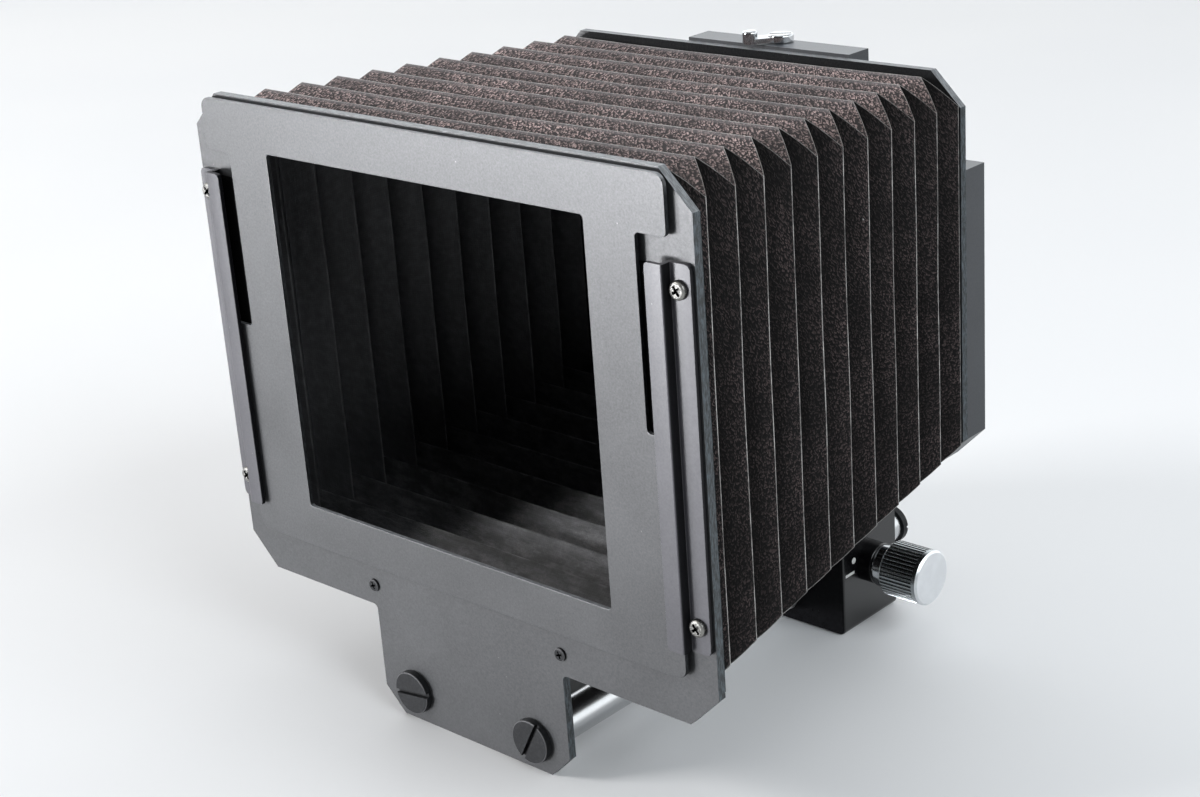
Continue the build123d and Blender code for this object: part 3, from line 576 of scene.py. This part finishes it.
# node, material, width of the bevel in mm
DRESSED = [
    ("front_plate", "front", 0.14), ("front_bellows_frame", "frame", 0.06),
    ("mask_plate", "mask", 0.13), ("rear_frame", "frame", 0.14),
    ("adapter_housing", "housing", 0.16), ("ring_retainer", "housing", 0.12),
    ("rod_block", "block", 0.10), ("bracket", "housing", 0.12),
    ("knob_bush", "block", 0.08), ("knob_collar", "chrome", 0.08),
    ("lock_lever", "chrome", 0.12), ("lock_knob", "knob", 0.04),
    ("rail_screws", "worn_screw", 0.05), ("board_screws", "black_screw", 0.05),
    ("rod_screws", "black_screw", 0.05), ("rod_stops", "black_screw", 0.05),
    ("frame_screws", "black_screw", 0.05), ("retainer_screws", "black_screw", 0.05),
    ("bracket_screws", "black_screw", 0.05), ("block_screws", "black_screw", 0.05),
]

# node, material: CAD pieces that keep their own mesh
PLAIN = [
    ("left_rod", "rod"), ("right_rod", "rod"), ("ring_shoe", "brass"),
    ("rod_bushes", "anodised"), ("rod_shoes", "brass"), ("eccentric_shaft", "steel"),
    ("shaft_retaining_screw", "black_screw"), ("knob_grub_screw", "black_screw"),
    ("left_felt", "felt"), ("right_felt", "felt"),
]


def corner_normals(bm, bevelled):
    """Corner normals taken from the original faces, so that the bevels carry the turn and the
    flats stay flat. Keys are (face index, vertex index)."""
    bm.normal_update()
    bm.verts.index_update()
    bm.faces.index_update()
    area = [face.calc_area() for face in bm.faces]
    normals = {}
    for vert in bm.verts:
        faces = list(vert.link_faces)
        # faces joined over smooth edges share a group
        group = {face.index: i for i, face in enumerate(faces)}
        for edge in vert.link_edges:
            if edge.smooth and len(edge.link_faces) == 2:
                kept, merged = (group[face.index] for face in edge.link_faces)
                for key in group:
                    if group[key] == merged:
                        group[key] = kept
        flats, every = {}, {}
        for face in faces:
            key = group[face.index]
            weighted = face.normal * area[face.index]
            every[key] = every.get(key, Vector()) + weighted
            if not face[bevelled]:
                flats[key] = flats.get(key, Vector()) + weighted
        for face in faces:
            key = group[face.index]
            total = flats[key] if key in flats and flats[key].length > 1e-12 else every[key]
            normal = total.normalized() if total.length > 0 else face.normal.copy()
            normals[(face.index, vert.index)] = normal
    return normals


def dress(node, material, bevel):
    """A clean copy of a CAD node with its sharp edges broken by a small real bevel."""
    source = NODES[node].data
    bm = bmesh.new()
    bm.from_mesh(source)
    bmesh.ops.remove_doubles(bm, verts=bm.verts, dist=2e-6)
    free = list(bm.edges)
    if node in SEAM_X:
        seam = SEAM_X[node] * MM
        bmesh.ops.bisect_plane(bm, geom=bm.verts[:] + bm.edges[:] + bm.faces[:], dist=1e-7,
                               plane_co=(seam, 0, 0), plane_no=(1, 0, 0))
        free = [e for e in bm.edges if any(abs(v.co.x - seam) > 1e-7 for v in e.verts)]
    bmesh.ops.dissolve_limit(bm, angle_limit=math.radians(0.6), verts=bm.verts, edges=free,
                             delimit={"NORMAL"})
    sharp = [edge for edge in bm.edges if is_sharp(edge, BEVEL_ANGLE)]
    bevelled = bm.faces.layers.int.new("bevelled")
    new = bmesh.ops.bevel(bm, geom=sharp, offset=bevel * MM, offset_type="OFFSET", segments=2,
                          profile=0.5, affect="EDGES", clamp_overlap=True, miter_outer="ARC")
    for face in new["faces"]:
        face[bevelled] = 1
    bmesh.ops.remove_doubles(bm, verts=bm.verts, dist=1e-6)
    split_ngons(bm)
    ratio = sum(f.calc_area() for f in bm.faces) / sum(p.area for p in source.polygons)
    if abs(ratio - 1) > AREA_TOLERANCE:
        raise RuntimeError(f"{node}: the copy has {ratio:.3f} times the area of its CAD node")
    smooth_below(bm, SHADE_ANGLE)
    normals = corner_normals(bm, bevelled)
    obj = mesh_object(node + "_skin", bm)
    mesh = obj.data
    mesh.normals_split_custom_set([normals[(p.index, i)] for p in mesh.polygons
                                   for i in p.vertices])
    stand_for(obj, node, material)


for entry in DRESSED:
    dress(*entry)
for node, material in PLAIN:
    use(NODES[node], MATERIALS[material])


# ------------------------------------------------------------------ rails
SHEET = 1.0                      # thickness of the sheet, mm
RAIL_DEPTH = 3.3                 # how far the rail stands in front of the plate
FLANGE_X, WALL_X, LIP_X = 69.6, 63.9, 60.6      # outer edge, inner face of the wall, inner edge
BEND_IN, BEND_OUT = 0.12, 0.45   # radii inside and outside a bend
FLANGE_ROUND, LIP_ROUND = 1.15, 0.75            # rounding at the ends of the rail
RAIL_STEPS = 30


def bend(x, depth, radius, start, end, steps=6):
    """Arc round (x, depth) between two angles in degrees."""
    angles = [math.radians(start + (end - start) * i / steps) for i in range(steps + 1)]
    return [(x + radius * math.cos(a), depth + radius * math.sin(a)) for a in angles]


def rail_section():
    """Flange, step wall and lip as (x, depth in front of the plate)."""
    outer_wall = WALL_X + SHEET
    lip_back = RAIL_DEPTH - SHEET
    return [
        (FLANGE_X, 0.06), (FLANGE_X, SHEET - 0.08), (FLANGE_X - 0.08, SHEET),
        *bend(outer_wall + BEND_IN, SHEET + BEND_IN, BEND_IN, 270, 180, steps=4),
        *bend(outer_wall - BEND_OUT, RAIL_DEPTH - BEND_OUT, BEND_OUT, 0, 90),
        (LIP_X + 0.10, RAIL_DEPTH), (LIP_X, RAIL_DEPTH - 0.10),
        (LIP_X, lip_back + 0.10), (LIP_X + 0.10, lip_back),
        *bend(WALL_X - BEND_IN, lip_back - BEND_IN, BEND_IN, 90, 0),
        *bend(WALL_X + BEND_OUT, BEND_OUT, BEND_OUT, 180, 270),
        (FLANGE_X - 0.06, 0.0),
    ]


def rounding(distance, radius):
    """How far a rounded corner draws an edge in at a distance from the end."""
    reach = radius - min(distance, radius)
    return radius - math.sqrt(max(0, radius ** 2 - reach ** 2))


def rail(side, name, node):
    """Sheet section swept along Z with rounded ends; side is -1 on the left, 1 on the right."""
    low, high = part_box(node)
    z_low, z_high = low.z / MM, high.z / MM
    section = rail_section()
    count = len(section)
    bm = bmesh.new()
    rows = []
    for i in range(RAIL_STEPS + 1):
        # rows crowd at the ends so that the corners round off
        z = z_low + (z_high - z_low) * (0.5 - 0.5 * math.cos(math.pi * i / RAIL_STEPS))
        distance = min(z - z_low, z_high - z)
        row = []
        for x, depth in section:
            if x > WALL_X + 2.5:
                x -= rounding(distance, FLANGE_ROUND)
            elif x < LIP_X + 0.5:
                x += rounding(distance, LIP_ROUND)
            row.append(bm.verts.new((side * x * MM, FRONT_Y * MM - depth * MM, z * MM)))
        rows.append(row)
    # stepping by side turns the faces round on the mirrored rail
    for a, b in zip(rows, rows[1:]):
        for j in range(count):
            k = (j + 1) % count
            bm.faces.new([a[j], a[k], b[k], b[j]][::side])
    bm.faces.new(rows[0][::-side])
    bm.faces.new(rows[-1][::side])
    bmesh.ops.recalc_face_normals(bm, faces=bm.faces)
    split_ngons(bm)
    smooth_below(bm, 40)
    stand_for(mesh_object(name, bm), node, "rail")


rail(-1, "left_rail_bent", "left_rail")
rail(1, "right_rail_bent", "right_rail")


# ------------------------------------------------------------------ lens ring
BORE = 36.5                      # inner radius, mm
THREAD_ROOT, THREAD_CREST = 38.1, 38.5
THREAD_START, THREAD_PITCH, THREAD_TURNS = 0.3, 0.75, 5
GROOVE_START, GROOVE_PITCH, GROOVES = 3.6, 0.8, 12


def lathe(name, profile, steps):
    """Ring turned about the Y axis from a closed loop of (radius, y) in mm."""
    bm = bmesh.new()
    rings = []
    for i in range(steps):
        a = 2 * math.pi * i / steps
        rings.append([bm.verts.new((r * math.cos(a) * MM, y * MM, r * math.sin(a) * MM))
                      for r, y in profile])
    count = len(profile)
    for i in range(steps):
        a, b = rings[i], rings[(i + 1) % steps]
        for j in range(count):
            k = (j + 1) % count
            bm.faces.new([a[j], a[k], b[k], b[j]])
    bmesh.ops.recalc_face_normals(bm, faces=bm.faces)
    smooth_below(bm, 25)
    return mesh_object(name, bm)


def ring_profile():
    """(radius, y): the flanged outside, the thread, and light-trap grooves in the bore."""
    profile = [(BORE, -6.2), (42.7, -6.2), (42.95, -5.95), (42.95, -2.1), (42.65, -1.8),
               (39.4, -1.8), (39.4, -0.15), (39.25, 0.0), (38.2, 0.0)]
    for i in range(THREAD_TURNS):
        y = THREAD_START + THREAD_PITCH * i
        profile += [(THREAD_ROOT, y), (THREAD_CREST, y + 0.30),
                    (THREAD_CREST, y + 0.40), (THREAD_ROOT, y + 0.70)]
    profile += [(THREAD_ROOT, 4.3), (37.9, 4.5), (36.7, 4.5), (BORE, 4.3)]
    for i in range(GROOVES):
        y = GROOVE_START - GROOVE_PITCH * i
        profile += [(BORE, y), (BORE + 0.3, y - 0.25), (BORE, y - 0.5)]
    return profile


stand_for(lathe("lens_ring_threaded", ring_profile(), steps=160), "lens_ring", "anodised")


# ------------------------------------------------------------------ bellows
# Rings of folds alternate: even ones are tall and narrow, odd ones are low and wide.
HALF_PLEATS = 21                 # spaces between rings
BELLOWS_FRONT, BELLOWS_REAR = FRONT_Y + 3.05, FRONT_Y + 102.45
# Ring sizes in mm as (at the front, at the rear)
TALL_HALF, WIDE_HALF = (61.4, 50.7), (67.4, 57.9)        # half width
TALL_TOP, WIDE_TOP = (50.4, 45.3), (44.35, 38.5)         # z of the top
TALL_LOW, WIDE_LOW = (-56.4, -45.3), (-50.1, -38.9)      # z of the bottom
CLOTH = 0.58                     # thickness, outside to lining
FOLD_SOFTNESS = 0.035            # rounding of a fold, as a share of a half pleat
BELLY = 0.030                    # how far panels belly out, as a share of the ring difference
PANEL_DEPTH = 7.7                # fold to fold along the cloth
STATIONS = [0.0, 0.02, 0.05, 0.10, 0.20, 0.35, 0.5, 0.65, 0.80, 0.90, 0.95, 0.98]

# The four panels round a ring: right side, top, left side, bottom
SIDE_COLUMNS, TOP_COLUMNS = 40, 44
PANEL_AXIS = (X, Z, X, Z)        # axis and sign of the outward direction
PANEL_SIGN = (1, 1, -1, -1)
PANEL_SAG = (0.10, 0.35, 0.10, -0.10)            # inward sag at mid panel
PANEL_LENGTH = (105.0, 128.0, 105.0, 128.0)      # nominal length, for the cloth coordinates


def wave(s):
    """0 on tall rings, 1 on wide rings, with the folds very slightly rounded."""
    turn = s % 2.0
    to_tall = min(turn, 2 - turn)
    if to_tall < 0.5:
        return math.sqrt(to_tall * to_tall + FOLD_SOFTNESS ** 2)
    return 1 - math.sqrt((1 - to_tall) ** 2 + FOLD_SOFTNESS ** 2)


def waver(a, b, seed):
    """Smooth, repeatable irregularity between -1 and 1."""
    return (math.sin(a * 1.7 + seed * 2.1) * math.cos(b * 1.3 - seed)
            + 0.6 * math.sin(a * 3.1 - b * 2.3 + seed * 0.7)
            + 0.4 * math.sin(b * 5.3 + a * 0.9 + seed * 3.3)) / 2.0


def panel_positions(count):
    """Shares along a panel, crowded at both corners."""
    middle = [0.03 + 0.94 * (i + 1) / (count - 7) for i in range(count - 8)]
    return [0.0, 0.004, 0.012, 0.03] + middle + [0.97, 0.988, 0.996]


def ring_corners(s, inset):
    """Corners (x, z) of the section at s half pleats from the front, anticlockwise seen from
    the front, starting at the lower right."""
    along = s / HALF_PLEATS
    fold = wave(s)
    belly = BELLY * math.sin(math.pi * fold)

    def size(tall, wide, share):
        at_tall, at_wide = (p[0] + (p[1] - p[0]) * along for p in (tall, wide))
        return at_tall + (at_wide - at_tall) * share

    half = size(TALL_HALF, WIDE_HALF, fold + belly) - inset
    top = size(TALL_TOP, WIDE_TOP, fold - belly) - inset
    low = size(TALL_LOW, WIDE_LOW, fold - belly) + inset
    return [(half, low), (half, top), (-half, top), (-half, low)]


def bellows_layer(stations, columns, inset):
    """Points of one layer, with a slight sag and waviness that die out at panel ends."""
    points = np.zeros((len(stations), len(columns), 3))
    for i, s in enumerate(stations):
        corners = ring_corners(s, inset)
        y = BELLOWS_FRONT + (BELLOWS_REAR - BELLOWS_FRONT) * s / HALF_PLEATS
        end_fade = min(1.0, s / 0.8, (HALF_PLEATS - s) / 0.8)
        for j, (k, t) in enumerate(columns):
            start, end = corners[k], corners[(k + 1) % 4]
            fade = math.sin(math.pi * t) * end_fade
            push = 0.16 * waver(t * 3 + k * 5, s * 1.9, seed=1.0) * fade - PANEL_SAG[k] * fade
            shift = 0.22 * waver(t * 4 + k * 3, s * 2.7, seed=4.0) * fade
            points[i, j] = (start[0] + (end[0] - start[0]) * t, y + shift,
                            start[1] + (end[1] - start[1]) * t)
            points[i, j, PANEL_AXIS[k]] += PANEL_SIGN[k] * push
    return points.reshape(-1, 3)


def cloth_values(s, k, t):
    """'fold' and 'cloth' values at station s, on panel k at share t."""
    to_wide = abs((s % 2) - 1)
    to_tall = 1 - to_wide
    # wide rings fold outward on the sides, tall rings on the top and bottom
    outward, inward = (to_wide, to_tall) if k in (0, 2) else (to_tall, to_wide)
    length = PANEL_LENGTH[k]
    return ((outward * PANEL_DEPTH, inward * PANEL_DEPTH, min(t, 1 - t) * length),
            (t * length + k * 500.0, s * PANEL_DEPTH, k * 31.0))


def build_bellows():
    """An outer layer and a lining, joined by a strip at each end."""
    stations = [i + part for i in range(HALF_PLEATS) for part in STATIONS] + [HALF_PLEATS]
    panels = [panel_positions(n) for n in (SIDE_COLUMNS, TOP_COLUMNS) * 2]
    columns = [(k, t) for k in range(4) for t in panels[k]]
    rows, width = len(stations), len(columns)
    layer_size = rows * width
    verts = np.concatenate([bellows_layer(stations, columns, inset)
                            for inset in (0.0, CLOTH)]) * MM
    faces, slots, fold, cloth = [], [], [], []
    for layer in (0, 1):
        for i in range(rows - 1):
            for j, (k, t) in enumerate(columns):
                j2 = (j + 1) % width
                t2 = columns[j2][1] if j2 and columns[j2][0] == k else 1.0
                corners = [(i, j, t), (i, j2, t2), (i + 1, j2, t2), (i + 1, j, t)]
                if layer:
                    corners.reverse()
                faces.append([layer * layer_size + row * width + col
                              for row, col, _ in corners])
                slots.append(layer)
                for row, _, share in corners:
                    fold_value, cloth_value = cloth_values(stations[row], k, share)
                    fold.append(fold_value)
                    cloth.append(cloth_value)
    for i, step in ((0, -1), (rows - 1, 1)):
        for j in range(width):
            a, b = i * width + j, i * width + (j + 1) % width
            faces.append([a, b, layer_size + b, layer_size + a][::step])
            slots.append(0)
            fold += [(4.0, 4.0, 10.0)] * 4
            cloth += [(0.0, 0.0, 0.0)] * 4

    mesh = bpy.data.meshes.new("bellows_cloth")
    mesh.from_pydata([tuple(v) for v in verts], [], faces)
    mesh.update()
    fold, cloth = np.array(fold, np.float32), np.array(cloth, np.float32)
    for name, values in (("fold", fold), ("cloth", cloth)):
        attribute = mesh.attributes.new(name, "FLOAT_VECTOR", "CORNER")
        attribute.data.foreach_set("vector", values.ravel())
    uv = mesh.uv_layers.new(name="UVMap")
    uv.data.foreach_set("uv", (cloth[:, :2] * 0.01).ravel())
    mesh.polygons.foreach_set("use_smooth", [True] * len(faces))

    # corner folds stay crisp
    ends = np.zeros(len(mesh.edges) * 2, int)
    mesh.edges.foreach_get("vertices", ends)
    edge_columns = ends.reshape(-1, 2) % layer_size % width
    sharp = np.zeros(len(mesh.edges), bool)
    for j, (_, t) in enumerate(columns):
        if t == 0.0:
            sharp |= (edge_columns == j).all(axis=1)
    mesh.edges.foreach_set("use_edge_sharp", sharp)
    obj = add_object("bellows_cloth", mesh)
    use(obj, MATERIALS["leather"], MATERIALS["lining"])
    mesh.polygons.foreach_set("material_index", slots)
    return obj


bellows = build_bellows()
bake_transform(bellows)
# the bellows' vertex places, read into an array; nothing in this script moves the pleats (they
# open and close evenly, so the share of the front standard's travel is linear in y)
places = np.zeros(len(bellows.data.vertices) * 3, np.float32)
bellows.data.vertices.foreach_get("co", places)
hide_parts("bellows")


# ------------------------------------------------------------------ floor
BACKDROP = (0.855, 0.865, 0.885)
FLOOR_HALF = 6.0
FLOOR_FADE = (950.0, 1900.0)     # mm from the origin where the table turns into backdrop


def pale_table():
    mat = Mat("pale_table")
    cloud = mat.ramp(mat.noise(scale=0.004, detail=2, rough=0.5), span=(0.3, 0.7))
    color = mat.mix(cloud, (0.83, 0.835, 0.85), (0.86, 0.862, 0.87))
    # far from the object the table fades into the backdrop, for the camera only
    camera_ray = mat.node("LightPath").outputs["Is Camera Ray"]
    place = mat.sep(mat.mm)
    far = mat.mul(mat.ramp(mat.length(place[X], place[Y]), span=FLOOR_FADE), camera_ray)
    glow = mat.node("Emission", {"Color": BACKDROP})
    mixer = mat.node("MixShader", {0: far, 1: mat.shader.outputs[0], 2: glow.outputs[0]})
    mat.put(mat.output.inputs["Surface"], mixer.outputs[0])
    return mat.finish(color=color, rough=0.55, spec=0.25)


def build_floor():
    mesh = bpy.data.meshes.new("floor")
    corners = ((-1, -1), (1, -1), (1, 1), (-1, 1))
    mesh.from_pydata([(x * FLOOR_HALF, y * FLOOR_HALF, FLOOR_Z) for x, y in corners],
                     [], [(0, 1, 2, 3)])
    obj = add_object("floor", mesh)
    use(obj, pale_table())
    return obj


floor = build_floor()


# ------------------------------------------------------------------ lights
CENTRE = Vector((0, -0.06, 0.0))
FRONT_TINT = (0.955, 0.965, 1.0)
SIDE_TINT = (0.91, 0.965, 1.0)
WARM_TINT = (1.0, 0.985, 0.97)


def softbox(name, azimuth, elevation, distance, size, power, color=(1, 1, 1)):
    """Area light aimed at CENTRE. Azimuth 0 is in front of the hood and grows towards +X."""
    data = bpy.data.lights.new(name, "AREA")
    data.energy = power
    data.color = color
    data.shape = "RECTANGLE"
    data.size, data.size_y = size
    obj = add_object(name, data)
    a, e = math.radians(azimuth), math.radians(elevation)
    direction = Vector((math.sin(a) * math.cos(e), -math.cos(a) * math.cos(e), math.sin(e)))
    obj.location = CENTRE + direction * distance
    obj.rotation_euler = (CENTRE - obj.location).to_track_quat("-Z", "Y").to_euler()
    return obj


# name, azimuth, elevation, power
FRONT_BOXES = [
    ("sheen_softbox", -28, -8, 34.2),
    ("sheen_softbox_left", -44, -8, 9.7),
    ("sheen_softbox_right", -20, -8, 11.0),
    ("front_softbox", -44, 12, 20.4),
]
front_boxes = [softbox(name, azimuth, elevation, distance=2.0, size=(0.34, 0.26), power=power,
                       color=FRONT_TINT) for name, azimuth, elevation, power in FRONT_BOXES]
softbox("key_softbox", azimuth=-44, elevation=37, distance=1.8, size=(0.5, 0.5), power=13.4,
        color=WARM_TINT)
softbox("left_softbox", azimuth=-95, elevation=30, distance=1.8, size=(1.2, 0.8), power=4.2,
        color=WARM_TINT)
softbox("top_softbox", azimuth=-30, elevation=85, distance=1.6, size=(1.6, 1.6), power=4.9)
softbox("right_softbox", azimuth=85, elevation=35, distance=1.8, size=(1.2, 0.8), power=18.1,
        color=SIDE_TINT)

# the front boxes stand for the sheen off the table, so the table neither takes nor stops them
table = bpy.data.collections.new("table_flag")
table.objects.link(floor)
table.collection_objects[0].light_linking.link_state = "EXCLUDE"
for box in front_boxes:
    box.light_linking.receiver_collection = table
    box.light_linking.blocker_collection = table


# ------------------------------------------------------------------ world
def build_world():
    """A pale sweep behind the object and a dark room in front; the camera sees a backdrop."""
    world = bpy.data.worlds.new("studio")
    bpy.context.scene.world = world
    world.use_nodes = True
    graph = Graph(world.node_tree)
    direction = graph.sep(graph.node("TexCoord").outputs["Generated"])
    behind = graph.ramp(direction[Y], span=(-0.15, 0.35), to=(0.03, 1.0))
    below_top = graph.ramp(direction[Z], span=(0.35, 0.85), to=(1.0, 0.25))
    sweep = graph.node("Math", {0: behind, 1: below_top}, operation="MULTIPLY")
    level = graph.node("Math", {0: sweep.outputs[0], 1: 1.83}, operation="MULTIPLY",
                       name="level")
    room = graph.tree.nodes["Background"]
    graph.put(room.inputs["Strength"], level.outputs[0])
    graph.put(room.inputs["Color"], (0.95, 0.98, 1.0))
    plain = graph.node("Background", {"Color": BACKDROP})
    camera_ray = graph.node("LightPath").outputs["Is Camera Ray"]
    pick = graph.node("MixShader", {0: camera_ray, 1: room.outputs[0], 2: plain.outputs[0]})
    graph.put(graph.tree.nodes["World Output"].inputs["Surface"], pick.outputs[0])


build_world()


# ------------------------------------------------------------------ camera
CAMERA_PLACE = (0.30417, -0.38628, 0.14906)
CAMERA_BACK = (0.64370451, -0.67501232, 0.3605591)       # from the object towards the camera
CAMERA_ROLL = -4.2054            # degrees


def build_camera():
    data = bpy.data.cameras.new("camera")
    camera = add_object("camera", data)
    back = Vector(CAMERA_BACK).normalized()
    level_x = Vector((0, 0, 1)).cross(back).normalized()
    level_y = back.cross(level_x)
    roll = math.radians(CAMERA_ROLL)
    right = math.cos(roll) * level_x + math.sin(roll) * level_y
    up = -math.sin(roll) * level_x + math.cos(roll) * level_y
    rows = [(*axes, place) for *axes, place in zip(right, up, back, CAMERA_PLACE)]
    camera.matrix_world = Matrix((*rows, (0, 0, 0, 1)))
    data.sensor_fit = "HORIZONTAL"
    data.sensor_width = 36.0
    data.lens = 63.9864
    data.clip_start = 0.01
    data.clip_end = 50
    bpy.context.scene.camera = camera


build_camera()
view = bpy.context.scene.view_settings
view.view_transform = "Standard"
view.look = "None"
view.exposure = 0.0
